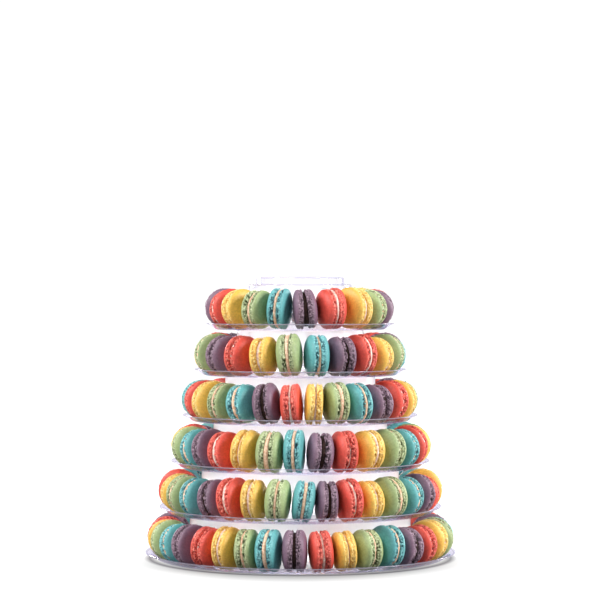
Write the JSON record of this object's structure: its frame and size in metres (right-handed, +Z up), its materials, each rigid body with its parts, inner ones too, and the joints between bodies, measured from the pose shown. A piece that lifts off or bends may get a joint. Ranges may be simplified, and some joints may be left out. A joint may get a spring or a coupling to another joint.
{
  "type": "macaron tower",
  "caption": "Cone-shaped tower of stacked clear ring trays, each holding a ring of coloured macarons standing on edge in its channel.",
  "frame": {"origin": "centre of the bottom tray's underside, on the surface that the tower stands on", "axes": "+Z up along the tower's axis, -Y towards the viewer of the picture's front, +X to that viewer's right"},
  "size_m": [0.34, 0.34, 0.3075],
  "materials": {
    "clear_plastic": "gloss",
    "shell_yellow": "matte",
    "shell_green": "matte",
    "shell_teal": "matte",
    "shell_purple": "matte",
    "shell_red": "matte",
    "filling_peach": "matte",
    "filling_white": "matte",
    "filling_dark": "satin"
  },
  "bodies": {
    "root": {"tray_1": "clear_plastic", "tray_2": "clear_plastic", "tray_3": "clear_plastic", "tray_4": "clear_plastic", "tray_5": "clear_plastic", "tray_6": "clear_plastic", "macarons_1": "shell_red", "macarons_2": "shell_teal", "macarons_3": "shell_purple", "macarons_4": "shell_yellow", "macarons_5": "shell_green", "macarons_6": "shell_red"}
  },
  "joints": []
}
